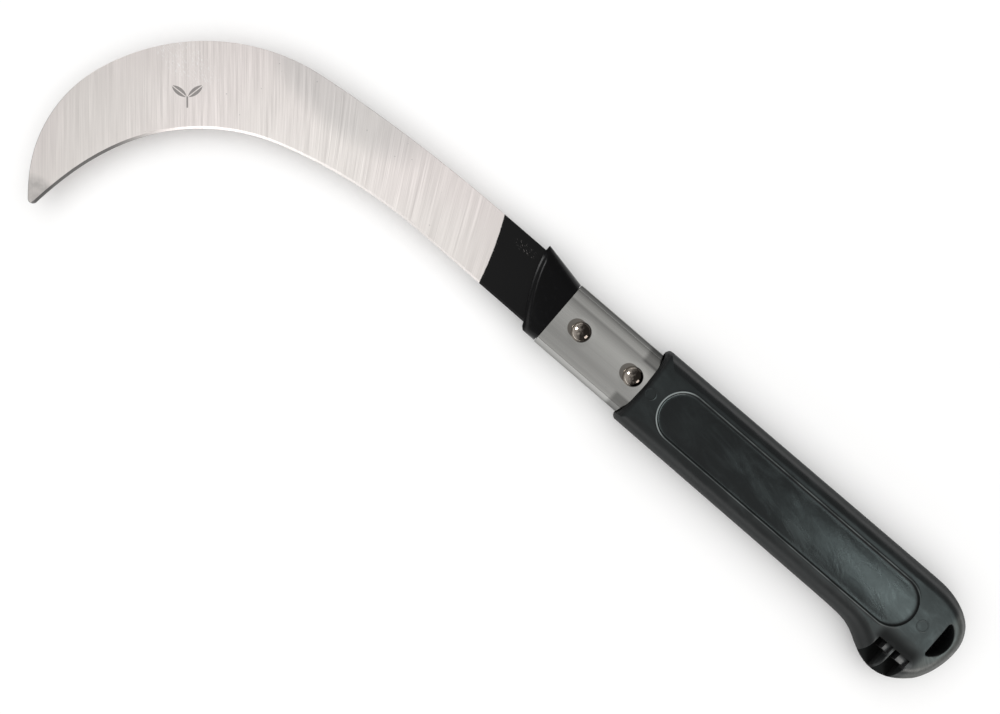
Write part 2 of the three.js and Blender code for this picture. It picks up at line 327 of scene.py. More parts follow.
def collar_row(step):
    """A closed row of points round the collar, from the lip (step 0) back to the rear edge."""
    steps = len(LIP_ROWS) + REAR_ROWS
    top = []
    for i in range(COLLAR_ACROSS + 1):
        t = 0.5 - 0.5 * math.cos(math.pi * i / COLLAR_ACROSS)
        lip_x, lip_y = lip_line(t)
        rear_y = lerp(COLLAR_LOW, COLLAR_BACK_TOP, t)
        run = math.hypot(lip_x, rear_y - lip_y)
        if step < len(LIP_ROWS):
            behind = min(LIP_ROWS[step], run * step / steps)
        else:
            start = min(LIP_ROWS[-1], run * (len(LIP_ROWS) - 1) / steps)
            behind = lerp(start, run, (step - len(LIP_ROWS) + 1) / REAR_ROWS)
        x, y = lerp(lip_x, 0.0, behind / run), lerp(lip_y, rear_y, behind / run)
        spine_side = lerp(COLLAR_BACK_TOP, COLLAR_PEAK, x / COLLAR_FRONT)
        inset = min(1.0, min(y - COLLAR_LOW, spine_side - y) / COLLAR_SHOULDER)
        top.append((x, y, collar_height(behind, x) * math.sqrt(max(0.0, 1 - (1 - inset) ** 2))))
    return top + [(x, y, -z) for x, y, z in reversed(top[1:-1])]


def plug_row(rear, x):
    """The collar's rear row drawn in to the tube's bore, at x."""
    middle = (COLLAR_BACK_TOP + COLLAR_LOW) / 2
    scale_y, scale_z = PLUG_W / (COLLAR_BACK_TOP - COLLAR_LOW), PLUG_H / (2 * BACK_HALF)
    return [(x, TUBE_Y + (y - middle) * scale_y, z * scale_z) for _, y, z in rear]


def cap_lip(bm, front):
    """Closes the lip's row with faces that run from its upper side to its lower side."""
    count, last = len(front), COLLAR_ACROSS
    bm.faces.new((front[0], front[1], front[count - 1]))
    for i in range(1, last - 1):
        bm.faces.new((front[i], front[i + 1], front[count - i - 1], front[count - i]))
    bm.faces.new((front[last - 1], front[last], front[last + 1]))


def blade_slot():
    """A cutter for the blade's seat in the collar, and for the tang's in the plug."""
    clear = 5.0
    front, neck, rear, step_in = -30.0, SHOULDER_X + FIT, PLUG_END + clear, SHOULDER_X - clear
    spine_side, edge_side, tang_side = SPINE_START[1] + FIT, EDGE_START[1] - FIT, TANG_HALF + FIT
    return prism("slot", [
        (front, spine_side), (front, edge_side), (neck, edge_side), (neck, -tang_side), (rear, -tang_side),
        (rear, tang_side), (step_in + FIT, tang_side), (step_in - clear + FIT, spine_side),
    ], -SLOT_HALF, SLOT_HALF)


def make_collar():
    rows = [collar_row(step) for step in range(len(LIP_ROWS) + REAR_ROWS)]
    rows += [plug_row(rows[-1], x) for x in (0.0, PLUG_END)]
    bm = bmesh.new()
    grid = bridge(bm, rows, cap_start=False)
    cap_lip(bm, grid[0])
    collar = new_object("collar_moulding", bm, sharp_degrees=40)
    cut(collar, [blade_slot()] + rivet_holes(), sharp_degrees=40)
    return collar


# ---------------------------------------------------------------- tube and rivets
TUBE_W, TUBE_H, TUBE_WALL, TUBE_END = 31.0, 15.6, 1.2, 183.0
DEBURR = 0.25
DIMPLE_DEPTH, DIMPLE_IN, DIMPLE_OUT = 0.3, 3.9, 6.6
FINE_FROM, FINE_STEP, FINE_ROWS = 4.0, 0.45, 103
COARSE_ROWS = [60, 90, 120, 150]
HEAD_R, HEAD_H, TAIL_R, TAIL_H, HEAD_RIM = 4.3, 3.5, 4.1, 2.3, 0.3


def dimple(x, y):
    """How far riveting has drawn the tube's flat in at (x, y)."""
    r = min(math.hypot(x - rx, y - TUBE_Y) for rx in RIVET_X)
    return DIMPLE_DEPTH * smooth((DIMPLE_OUT - r) / (DIMPLE_OUT - DIMPLE_IN))


def tube_section(x, shrink=0.0, turns=24, columns=44):
    """The oval across the tube at x, with closely spaced points along both flats."""
    r = TUBE_H / 2 - shrink
    c = (TUBE_W - TUBE_H) / 2
    loop = []
    for side in (1, -1):
        for i in range(turns):
            a = math.radians(180 * i / turns - 90 * side)
            loop.append((x, TUBE_Y + side * c + r * math.cos(a), r * math.sin(a)))
        for i in range(columns):
            y = TUBE_Y + side * lerp(c, -c, i / columns)
            loop.append((x, y, side * (r - dimple(x, y))))
    return loop


def make_tube():
    """Both ends are deburred, and the flats are drawn in a little round the rivets."""
    rows = [TUBE_GAP + DEBURR + 0.1] + [FINE_FROM + FINE_STEP * i for i in range(FINE_ROWS)] + COARSE_ROWS
    loops = [tube_section(TUBE_GAP, DEBURR), tube_section(TUBE_GAP + 0.3 * DEBURR, 0.3 * DEBURR)]
    loops += [tube_section(x) for x in rows]
    loops += [tube_section(TUBE_END - DEBURR), tube_section(TUBE_END, DEBURR)]
    loops += [tube_section(TUBE_END, TUBE_WALL), tube_section(TUBE_GAP, TUBE_WALL)]
    loops.append(loops[0])
    bm = bmesh.new()
    bridge(bm, loops, cap_start=False, cap_end=False)
    tube = new_object("oval_tube", bm, sharp_degrees=50)
    cut(tube, rivet_holes(), sharp_degrees=50)
    return tube


def rivet_profile():
    """Radius and height from the lower upset head's middle, along the shank, to the domed head's middle."""
    seat = TUBE_H / 2 - DIMPLE_DEPTH + 0.05
    upper = [(SHANK_R, seat), (HEAD_R - 0.35, seat), (HEAD_R - 0.1, seat + 0.08), (HEAD_R, seat + HEAD_RIM)]
    for i in range(1, 15):
        a = math.pi / 2 * i / 15
        upper.append((HEAD_R * math.cos(a), seat + HEAD_RIM + (HEAD_H - HEAD_RIM) * math.sin(a)))
    upper.append((0.0, seat + HEAD_H))
    lower = [(SHANK_R, -seat), (TAIL_R - HEAD_RIM, -seat), (TAIL_R, -seat - HEAD_RIM)]
    for i in range(1, 11):
        a = math.pi / 2 * i / 11
        lower.append((TAIL_R * math.cos(a), -seat - HEAD_RIM - (TAIL_H - HEAD_RIM) * math.sin(a)))
    lower.append((0.0, -seat - TAIL_H))
    return list(reversed(lower)) + upper


def make_rivet(name, x, segments=64):
    turn = [math.tau * i / segments for i in range(segments)]
    rings = [[(x + r * math.cos(a), TUBE_Y + r * math.sin(a), z) for a in turn] for r, z in rivet_profile()]
    bm = bmesh.new()
    bridge(bm, rings, cap_start=False, cap_end=False)
    return new_object(name, bm, sharp_degrees=50)


# ---------------------------------------------------------------- grip
GRIP_HALF, GRIP_LOW, GRIP_HIGH = 12.0, -18.35, 18.65
GRIP_FRONT, FRONT_R, FRONT_ROUND = 46.4, 140.0, 2.0
SIDES_FROM, FRONT_END = 50.0, 60.0
SHOULDER_W, SHOULDER_RINGS, SIDE_SWELL = 6.4, 14, 0.012
CROWN_R, CROWN_FLAT = 80.0, 4.0
BORE_END = 183.6
PANEL_X0, PANEL_X1, PANEL_Y, PANEL_R = 57.1, 192.0, -0.3, 10.4
PANEL_DEPTH, PANEL_CROWN_R = 0.9, 75.0
# The panel's wall from the land inward: how far outside the panel's outline, and how far below the land.
PANEL_WALL = (
    (1.5, 0.0), (1.15, -0.01), (0.95, -0.06), (0.75, -0.14), (0.55, -0.14), (0.4, -0.04), (0.28, 0.15),
    (0.16, 0.4), (0.04, 0.62), (-0.1, 0.78), (-0.3, 0.87), (-0.6, PANEL_DEPTH),
)
LAND_STEPS, FLOOR_STEPS = 9, 7
POCKETS = ((187.3, 194.6), (195.8, 203.4))
POCKET_TOP, WEB_HALF = -15.0, 1.2
RAMP_WIDTHS, RAMP_L, RAMP_DEPTHS = (3.0, 4.6), 3.4, (1.3, 2.0, 1.4, 0.7)
HOLE_X, HOLE_Y, HOLE_R, HOLE_DEPTH = 205.7, -0.6, 9.6, 5.7
HOLE_CENTRE = HOLE_X + HOLE_DEPTH - HOLE_R
# Where an opening's wall meets the grip's surface: how far out from the wall, and how far below the surface.
FLARE = ((0.0, 0.45), (0.06, 0.2), (0.18, 0.05), (0.4, -0.03), (0.7, -0.05))
CLEAR_Z, CLEAR_Y = 20.0, -34.0
HEEL = (
    (150, -18.7), (165, -18.8), (174, -19.3), (180, -21), (185, -23.7), (190, -26.2), (195.3, -27.4),
    (200.5, -27), (205, -25.3), (209.6, -21.9), (213, -18), (216.1, -11.2), (217.8, -3), (217.6, 4.4),
    (215, 10.7), (211, 14.7), (205.4, 17.5), (199, 19), (192, 19.3), (180, 19.25),
)


def catmull(points, per_span):
    """A smooth curve through points, with per_span steps between neighbours."""
    curve = []
    last = len(points) - 1
    for i in range(last):
        p0, p1, p2, p3 = points[max(0, i - 1)], points[i], points[i + 1], points[min(last, i + 2)]
        for step in range(per_span):
            t = step / per_span
            curve.append(tuple(
                0.5 * (2 * b + (c - a) * t + (2 * a - 5 * b + 4 * c - d) * t * t
                       + (3 * b - a - 3 * c + d) * t ** 3)
                for a, b, c, d in zip(p0, p1, p2, p3)))
    curve.append(points[last])
    return curve


def front_x(y):
    return GRIP_FRONT - y * y / (2 * FRONT_R)


def grip_outline():
    """The grip seen from above, anticlockwise from the lower side near the front."""
    (low_x, low_y), (high_x, high_y) = HEEL[0], HEEL[-1]
    outline = [(lerp(SIDES_FROM, low_x, i / 20), lerp(GRIP_LOW, low_y, i / 20)) for i in range(20)]
    outline += catmull(HEEL, 10)
    outline += [(lerp(high_x, SIDES_FROM, i / 26), lerp(high_y, GRIP_HIGH, i / 26)) for i in range(1, 27)]
    r = FRONT_ROUND
    corners = []
    for side, y in ((1, GRIP_HIGH - r), (-1, GRIP_LOW + r)):
        turns = [math.radians(90 * i / 8) for i in range(9)]
        corners.append([(front_x(y) + r - r * math.sin(a), y + side * r * math.cos(a)) for a in turns])
    front = [lerp(GRIP_HIGH - r, GRIP_LOW + r, i / 24) for i in range(1, 24)]
    return outline + corners[0] + [(front_x(y), y) for y in front] + corners[1][::-1]


def hit(outline, ox, oy, dx, dy):
    """Where a ray from (ox, oy) along (dx, dy) leaves the outline."""
    best = None
    for (ax, ay), (bx, by) in zip(outline, outline[1:] + outline[:1]):
        ex, ey = bx - ax, by - ay
        det = dx * ey - dy * ex
        if abs(det) < 1e-12:
            continue
        s = ((ax - ox) * ey - (ay - oy) * ex) / det
        t = ((ax - ox) * dy - (ay - oy) * dx) / det
        if s > 0 and -1e-9 <= t <= 1 + 1e-9 and (best is None or s > best):
            best = s
    return ox + dx * best, oy + dy * best


def crown(y):
    return GRIP_HALF - max(0.0, abs(y) - CROWN_FLAT) ** 2 / (2 * CROWN_R)


def grip_spokes(turns=132, straight=70):
    """Rays across the broad side, as (x, dx, dy), from the panel's middle line, all the way round."""
    low, high = PANEL_X0 + PANEL_R, PANEL_X1 - PANEL_R
    spokes = []
    for start, end, side in ((high, low, 1.0), (low, high, -1.0)):
        for i in range(turns):
            a = math.radians(180 * i / turns - 90 * side)
            spokes.append((start, math.cos(a), math.sin(a)))
        spokes += [(lerp(start, end, i / straight), 0.0, side) for i in range(straight)]
    return spokes


def shoulder_rings(rim):
    """Rings from the grip's side, up over its rounded shoulder, to the flat land."""
    inset = []
    for i, (x, _) in enumerate(rim):
        a, b = rim[i - 1], rim[(i + 1) % len(rim)]
        length = math.dist(a, b)
        wide = FRONT_ROUND if x < FRONT_END else SHOULDER_W
        inset.append(((a[1] - b[1]) / length * wide, (b[0] - a[0]) / length * SHOULDER_W))
    rings = []
    for k in range(SHOULDER_RINGS + 1):
        a = math.pi / 2 * k / SHOULDER_RINGS
        share = 1 - math.cos(a) if k else -SIDE_SWELL
        ring = [(x + wx * share, y + wy * share) for (x, y), (wx, wy) in zip(rim, inset)]
        rings.append([(x, y, crown(y) * math.sin(a)) for x, y in ring])
    return rings


def panel_ring(spokes, offset, depth):
    """The panel's outline moved out by offset, at a depth between the land (0) and the panel's floor."""
    r = PANEL_R + offset
    ring = []
    for x, dx, dy in spokes:
        y = PANEL_Y + dy * r
        floor = GRIP_HALF - PANEL_DEPTH - (y - PANEL_Y) ** 2 / (2 * PANEL_CROWN_R)
        ring.append((x + dx * r, y, min(lerp(crown(y), floor, depth / PANEL_DEPTH), GRIP_HALF)))
    return ring


def make_grip_body():
    """Rings run from the outline over the shoulder and the land to the panel and its middle line."""
    outline = grip_outline()
    spokes = grip_spokes()
    rings = shoulder_rings([hit(outline, x, PANEL_Y, dx, dy) for x, dx, dy in spokes])
    land, wall_top = rings[-1], panel_ring(spokes, *PANEL_WALL[0])
    for step in range(1, LAND_STEPS):
        t = step / LAND_STEPS
        places = [(lerp(a[0], b[0], t), lerp(a[1], b[1], t)) for a, b in zip(land, wall_top)]
        rings.append([(x, y, crown(y)) for x, y in places])
    rings += [panel_ring(spokes, offset, depth) for offset, depth in PANEL_WALL]
    for step in range(1, FLOOR_STEPS + 1):
        rings.append(panel_ring(spokes, lerp(PANEL_WALL[-1][0], -PANEL_R, step / FLOOR_STEPS), PANEL_DEPTH))
    bm = bmesh.new()
    for side in (1, -1):
        bridge(bm, [[(x, y, side * z) for x, y, z in ring] for ring in rings], cap_start=False, cap_end=False)
    bmesh.ops.remove_doubles(bm, verts=bm.verts, dist=SAME_POINT)
    flat = [f for f in bm.faces if f.calc_area() < NO_AREA]
    bmesh.ops.delete(bm, geom=flat, context="FACES_ONLY")
    return new_object("grip_moulding", bm, sharp_degrees=40)


def surface_height(tree, x, y):
    """Height of the grip's upper surface over (x, y), or 0 outside it."""
    found = tree.ray_cast(at(x, y, 1.5 * CLEAR_Z), Vector((0, 0, -1)))[0]
    return (found.z - ORIGIN.z) / MM if found else 0.0


def flared_cutter(tree, outline, floor=None):
    """A straight-walled cutter that flares at the grip's surface. It goes down to the floor, or through."""
    count = len(outline)
    normals = []
    for i in range(count):
        a, b = outline[i - 1], outline[(i + 1) % count]
        length = math.dist(a, b)
        normals.append(((b[1] - a[1]) / length, (a[0] - b[0]) / length))

    def ring(out, levels):
        return [(x + nx * out, y + ny * out, z) for (x, y), (nx, ny), z in zip(outline, normals, levels)]

    heights = [surface_height(tree, x, y) for x, y in outline]
    lowest = (floor or 0.0) + 0.4
    upper = [ring(out, [max(z - below, lowest) for z in heights]) for out, below in FLARE]
    upper.append(ring(FLARE[-1][0], [CLEAR_Z] * count))
    if floor is None:
        lower = [[(x, y, -z) for x, y, z in row] for row in reversed(upper)]
    else:
        fillet = 0.15
        lower = [ring(-0.5, [floor] * count), ring(-fillet, [floor + fillet] * count)]
    bm = bmesh.new()
    bridge(bm, lower + upper)
    return bm


def ramp_cutter(tree, inner_x, inner_y, x1):
    """A shallow cutter for a pocket's inner corner, with a floor that slopes toward the butt."""
    overlap, inside = 0.15, 6.0
    x0, y0 = inner_x - overlap, inner_y - overlap
    corners = ((x0, y0), (x1, y0), (x1, POCKET_TOP), (x0, POCKET_TOP))
    heights = [surface_height(tree, x, y) or inside for x, y in corners]
    floor = [(x, y, z - depth) for (x, y), z, depth in zip(corners, heights, RAMP_DEPTHS)]
    bm = bmesh.new()
    bridge(bm, [floor, [(x, y, CLEAR_Z) for x, y in corners]])
    return bm


def rounded(corners, radius, per_corner=6, per_side=14):
    """A closed outline of straight sides with rounded corners."""
    points = []
    corners = [Vector(corner) for corner in corners]
    for i, p in enumerate(corners):
        q = corners[(i + 1) % len(corners)]
        back, ahead = (corners[i - 1] - p).normalized(), (q - p).normalized()
        start, end = p + back * radius, p + ahead * radius
        for k in range(per_corner + 1):
            t = k / per_corner
            points.append((1 - t) ** 2 * start + 2 * t * (1 - t) * p + t * t * end)
        for k in range(1, per_side):
            points.append(end.lerp(q - ahead * radius, k / per_side))
    return [(p.x, p.y) for p in points]


def pocket_cutters(tree):
    """Cutters for both heel pockets on each side of the web, with a ramp in each one's inner corner."""
    cutters = []
    for (x0, x1), width in zip(POCKETS, RAMP_WIDTHS):
        inner_x, inner_y = x1 - width, POCKET_TOP - RAMP_L
        outline = rounded([(x0, CLEAR_Y), (x1, CLEAR_Y), (x1, inner_y), (inner_x, inner_y),
                           (inner_x, POCKET_TOP), (x0, POCKET_TOP)], 0.3, per_side=16)
        for side in (1, -1):
            for bm in (flared_cutter(tree, outline, WEB_HALF), ramp_cutter(tree, inner_x, inner_y, x1)):
                if side < 0:
                    for v in bm.verts:
                        v.co.z = 2 * ORIGIN.z - v.co.z
                cutters.append(new_object("pocket", bm))
    return cutters


def hole_cutter(tree):
    """The half-moon hanging hole: an arc toward the butt, closed by a straight side with eased corners."""
    reach = math.acos((HOLE_R - HOLE_DEPTH) / HOLE_R)
    turns = [lerp(-reach, reach, i / 30) for i in range(31)]
    arc = [(HOLE_CENTRE + HOLE_R * math.cos(a), HOLE_Y + HOLE_R * math.sin(a)) for a in turns]
    (low_x, low_y), (high_x, high_y) = arc[0], arc[-1]
    ease_x, ease_y, ease_side = 0.5, 0.45, 1.3
    arc = [(low_x + ease_x, low_y + ease_y)] + arc[2:-2] + [(high_x + ease_x, high_y - ease_y)]
    chord = [(HOLE_X, lerp(high_y - ease_side, low_y + ease_side, i / 14)) for i in range(15)]
    return new_object("moon", flared_cutter(tree, arc + chord))


def bore_cutter():
    """The tube's bore, with a flared mouth: how much wider than the tube, and how far behind the front."""
    bore = ((5.0, -6.4), (1.5, 0.0), (0.8, 0.8), (2 * FIT, 2.0), (2 * FIT, BORE_END - GRIP_FRONT))
    bm = bmesh.new()
    bridge(bm, [oval(TUBE_W + wider, TUBE_H + wider, GRIP_FRONT + behind) for wider, behind in bore])
    return new_object("bore", bm)


def make_grip():
    grip = make_grip_body()
    tree = BVHTree.FromObject(grip, bpy.context.evaluated_depsgraph_get())
    cut(grip, pocket_cutters(tree) + [hole_cutter(tree), bore_cutter()], sharp_degrees=40)
    return grip


# ---------------------------------------------------------------- materials
class Look:
    """A material with a Principled surface, and short ways to add nodes to it."""

    def __init__(self, name):
        self.material = bpy.data.materials.new(name)
        self.material.use_nodes = True
        self.tree = self.material.node_tree
        self.shader = self.tree.nodes["Principled BSDF"]
        shifted = self.node("VectorMath", self.node("TexCoord").outputs["Object"], ORIGIN)
        shifted.operation = "SUBTRACT"
        scaled = self.node("VectorMath", shifted.outputs[0])
        scaled.operation = "SCALE"
        scaled.inputs["Scale"].default_value = 1 / MM
        self.place = scaled.outputs[0]
        self.x, self.y, self.z = self.node("SeparateXYZ", self.place).outputs

    def node(self, kind, *values):
        """A new node that takes numbers or other nodes' results as its first inputs."""
        node = self.tree.nodes.new("ShaderNode" + kind)
        for socket, value in zip(node.inputs, values):
            self.put(socket, value)
        return node

    def put(self, socket, value):
        if isinstance(value, bpy.types.NodeSocket):
            self.tree.links.new(value, socket)
        else:
            socket.default_value = value

    def set(self, **values):
        for key, value in values.items():
            self.put(self.shader.inputs[key.replace("_", " ")], value)

    def math(self, operation, *values):
        """One node's result for two values or one, or a chain of nodes that takes in further values."""
        total = values[0]
        for value in values[1:] or (0.0,):
            node = self.node("Math", total, value)
            node.operation = operation
            total = node.outputs[0]
        return total

    def plus(self, *values):
        return self.math("ADD", *values)

    def minus(self, a, b):
        return self.math("SUBTRACT", a, b)

    def times(self, *values):
        return self.math("MULTIPLY", *values)

    def over(self, a, b):
        return self.math("DIVIDE", a, b)

    def most(self, *values):
        return self.math("MAXIMUM", *values)

    def size(self, a):
        """The value without its sign."""
        return self.math("ABSOLUTE", a)

    def length(self, a, b):
        """The length of a line that runs a along one axis and b along the other."""
        return self.math("SQRT", self.plus(self.times(a, a), self.times(b, b)))

    def ramp(self, value, low, high, out_low=0.0, out_high=1.0, soft=True):
        node = self.node("MapRange", value, low, high, out_low, out_high)
        node.interpolation_type = "SMOOTHSTEP" if soft else "LINEAR"
        return node.outputs["Result"]

    def noise(self, vector, scale, detail=3.0, roughness=0.55, distortion=0.0):
        node = self.node("TexNoise", vector)
        node.inputs["Scale"].default_value = scale
        node.inputs["Detail"].default_value = detail
        node.inputs["Roughness"].default_value = roughness
        node.inputs["Distortion"].default_value = distortion
        return node.outputs["Fac"]

    def stretch(self, turn=0.0, size=(1, 1, 1), move=(0, 0, 0)):
        """The place turned about the vertical, then scaled along each axis."""
        turned = self.node("VectorRotate", self.place)
        turned.rotation_type = "Z_AXIS"
        turned.inputs["Angle"].default_value = turn
        scaled = self.node("Mapping", turned.outputs[0], move)
        scaled.inputs["Scale"].default_value = size
        return scaled.outputs[0]

    def facing(self):
        """The x, y and z parts of the surface's own direction."""
        return self.node("SeparateXYZ", self.node("NewGeometry").outputs["Normal"]).outputs

    def blend(self, factor, a, b):
        """A number between a and b."""
        node = self.node("Mix", factor)
        node.data_type = "FLOAT"
        self.put(node.inputs[2], a)
        self.put(node.inputs[3], b)
        return node.outputs[0]

    def bands(self, value, stops):
        """A number that runs straight from stop to stop, each given as (value, number)."""
        low, high = stops[0][0], stops[-1][0]
        node = self.node("ValToRGB", self.ramp(value, low, high, soft=False))
        ends = node.color_ramp.elements
        ends[0].color, ends[1].color = grey(stops[0][1]), grey(stops[-1][1])
        for place, number in stops[1:-1]:
            ends.new((place - low) / (high - low)).color = grey(number)
        return node.outputs["Color"]

    def colour(self, red, green, blue):
        return self.node("CombineColor", red, green, blue).outputs[0]

    def mix(self, factor, a, b):
        """A colour between a and b."""
        node = self.node("Mix", factor)
        node.data_type = "RGBA"
        self.put(node.inputs[6], a)
        self.put(node.inputs[7], b)
        return node.outputs[2]

    def bump(self, height, strength, distance, normal=None):
        node = self.node("Bump")
        node.inputs["Strength"].default_value = strength
        node.inputs["Distance"].default_value = distance * MM
        self.put(node.inputs["Height"], height)
        if normal is not None:
            self.put(node.inputs["Normal"], normal)
        return node.outputs[0]

    def spot(self, x, y, rx, ry, full=0.3):
        """1 in the middle of an ellipse, falling to 0 at its rim from the given part of the squared way."""
        across, along = self.over(self.minus(self.x, x), rx), self.over(self.minus(self.y, y), ry)
        return self.ramp(self.plus(self.times(across, across), self.times(along, along)), 1.0, full)


def grey(value):
    return (value, value, value, 1.0)


SPRIG_X, SPRIG_Y, SPRIG_UP = -176.4, -33.2, 130.7
LEAF_SPREAD, LEAF_REACH, LEAF_OFFSET, LEAF_ROUND = 52.0, 4.3, 4.6, 6.1


def sprig(look):
    """A small etched sprig, two leaves on a stem, as a mask. It stands for no maker."""
    dx, dy = look.minus(look.x, SPRIG_X), look.minus(look.y, SPRIG_Y)

    def along(degrees):
        a = math.radians(degrees)
        return look.plus(look.times(dx, math.cos(a)), look.times(dy, math.sin(a)))

    def leaf(degrees):
        """Where two circles overlap, with the leaf's axis at this angle."""
        u, v = look.minus(along(degrees), LEAF_REACH), along(degrees + 90)
        rims = [look.length(u, look.minus(v, side)) for side in (-LEAF_OFFSET, LEAF_OFFSET)]
        vein = look.ramp(look.size(v), 0.12, 0.28)
        return look.times(look.ramp(look.most(*rims), LEAF_ROUND + 0.1, LEAF_ROUND - 0.1), vein)

    up, side = along(SPRIG_UP), look.size(along(SPRIG_UP - 90))
    stem = look.times(look.ramp(side, 0.45, 0.25), look.ramp(up, -4.4, -4.1), look.ramp(up, 0.6, 0.3))
    return look.most(leaf(SPRIG_UP - LEAF_SPREAD), leaf(SPRIG_UP + LEAF_SPREAD), stem)


# Places on the blade, as the middle of an ellipse and its reach along x and y.
# The first place is painted shade over the middle of the blade toward the spine.
PAINTED_SHADE_MIDDLE = (-128, 16, 52, 24)
TIP_STAIN = (-198, -107, 12, 10)
WORN_SPINE = (-187, -22, 19, 9)
PAINT_SCUFF = (-27.5, 11.4, 6.5, 2.4)
PAINT_LENGTH = 36.75


def blade_grain(look):
    """Fine streaks and a broad tone along the grinding marks, which swing round toward the handle."""
    past_hook = look.most(look.plus(look.x, 150.0), 0.0)
    swing = look.times(past_hook, past_hook, 0.0052)
    across = look.plus(look.y, look.times(look.x, 1.145), swing)

    def grain(width, length, seed):
        joined = look.node("CombineXYZ", look.over(across, width), look.over(look.x, length), seed)
        return look.noise(joined.outputs[0], 1.0, detail=3, roughness=0.6)

    coarse, fine, broad = grain(1.3, 48.0, 1.0), grain(0.55, 22.0, 5.0), grain(12.0, 60.0, 9.0)
    return look.plus(look.times(coarse, 0.28), look.times(fine, 0.72)), broad


def bare_steel(look, streaks, broad, etched):
    """The ground steel's colour, with its stains, specks, worn places and mark, and painted shade over the
    middle, on the thin sides and on the edge toward the tip.
    """
    tone = look.times(look.ramp(streaks, 0.32, 0.68, 0.735, 0.85, soft=False),
                      look.ramp(broad, 0.3, 0.7, 0.985, 1.015, soft=False))
    blush = look.ramp(look.noise(look.place, 0.014, detail=1), 0.3, 0.7)
    green, blue = look.ramp(blush, 0.0, 1.0, 0.995, 0.975), look.ramp(blush, 0.0, 1.0, 0.96, 0.95)
    steel = look.colour(look.times(tone, 1.045), look.times(tone, green), look.times(tone, blue))
    # Painted shade darkens the middle of the blade toward the spine.
    steel = look.mix(look.times(look.spot(*PAINTED_SHADE_MIDDLE), 0.33), steel, grey(0.42))
    mottle = look.ramp(look.noise(look.place, 0.35, detail=4), 0.3, 0.7, 0.35, 0.6)
    steel = look.mix(look.times(look.spot(*TIP_STAIN), mottle), steel, (0.36, 0.35, 0.34, 1))
    specks = look.noise(look.stretch(0.6, (0.6, 0.6, 1), (3, 9, 0)), 1.0, detail=0)
    steel = look.mix(look.times(look.ramp(specks, 0.85, 0.87), 0.45), steel, grey(0.3))
    hairs = look.noise(look.stretch(0.5, (0.5, 3.2, 1), (4, 1, 0)), 1.0, detail=3, roughness=0.7)
    steel = look.mix(look.times(look.spot(*WORN_SPINE), look.ramp(hairs, 0.58, 0.64), 0.85), steel, grey(1.0))
    steel = look.mix(look.times(etched, 0.75), steel, (0.16, 0.155, 0.15, 1))
    # Painted shade: faces that turn away from upright, such as the blade's thin sides, are darkened.
    upright = look.size(look.facing()[2])
    steel = look.mix(look.times(look.ramp(upright, 0.7, 0.45), 0.8), steel, grey(0.2))
    # Painted shade darkens the ground edge toward the tip.
    painted_edge_shade = look.times(look.ramp(upright, 0.95, 0.85), look.ramp(look.y, -46.0, -72.0))
    return look.mix(look.times(painted_edge_shade, 0.8), steel, grey(0.13))


def blade_paint(look):
    """1 on the black paint, which ends in a slightly curved line that leans back toward the spine."""
    line = look.plus(look.times(look.y, 0.346), look.times(look.y, look.y, 0.0042))
    wander = look.times(look.minus(look.noise(look.place, 0.8), 0.5), 0.4)
    past = look.plus(look.x, PAINT_LENGTH, line, wander)
    nicks = look.noise(look.stretch(0.4, (0.7, 2.6, 1), (5, 2, 0)), 1.0, detail=4, roughness=0.7)
    scuff = look.times(look.spot(*PAINT_SCUFF), look.ramp(nicks, 0.6, 0.68))
    edge_wear = look.times(look.ramp(past, 1.2, 0.0), look.ramp(nicks, 0.6, 0.7))
    bare = look.times(look.most(scuff, edge_wear), 0.55)
    return look.times(look.ramp(past, -0.12, 0.12), look.minus(1.0, bare))


def blade_look():
    look = Look("blade_steel_and_paint")
    streaks, broad = blade_grain(look)
    etched = look.times(sprig(look), look.ramp(look.z, 0.0, 0.5))
    paint = blade_paint(look)
    look.set(
        Base_Color=look.mix(paint, bare_steel(look, streaks, broad, etched), (0.0022, 0.0022, 0.0026, 1)),
        Metallic=look.times(look.minus(1.0, paint), 0.8),
        Roughness=look.blend(paint, look.ramp(streaks, 0.3, 0.7, 0.44, 0.32), 0.34),
        IOR=1.24,
    )
    orange_peel = look.times(look.noise(look.place, 1.6, detail=2), 0.6)
    height = look.minus(look.blend(paint, streaks, orange_peel), look.times(etched, 0.5))
    look.set(Normal=look.bump(height, 0.2, 0.03))
    return look.material


def collar_look():
    look = Look("black_gloss_moulding")
    fine = look.noise(look.stretch(0.5, (0.4, 5.0, 1)), 1.0, detail=5, roughness=0.7)
    waves = look.noise(look.place, 0.22, detail=2)
    rub = look.ramp(look.noise(look.place, 0.5, detail=4), 0.55, 0.75)
    look.set(
        Base_Color=look.mix(rub, (0.005, 0.005, 0.0056, 1), (0.009, 0.009, 0.0098, 1)),
        Roughness=look.ramp(fine, 0.3, 0.7, 0.16, 0.28),
        IOR=1.3,
        Specular_IOR_Level=0.3,
    )
    first = look.bump(waves, 0.25, 0.12)
    look.set(Normal=look.bump(fine, 0.1, 0.01, first))
    return look.material


# Painted reflection: brightness of the drawn tube across its width, as (y, tone), in long bands.
TUBE_REFLECTION_BANDS = (
    (-15.5, 0.4), (-14, 0.42), (-13, 0.68), (-12, 0.59), (-7, 0.65), (-4, 0.74), (3, 0.88), (5.5, 0.72),
    (8, 0.52), (9, 0.87), (10.5, 0.82), (12, 0.55), (13.1, 0.14), (15.5, 0.06),
)


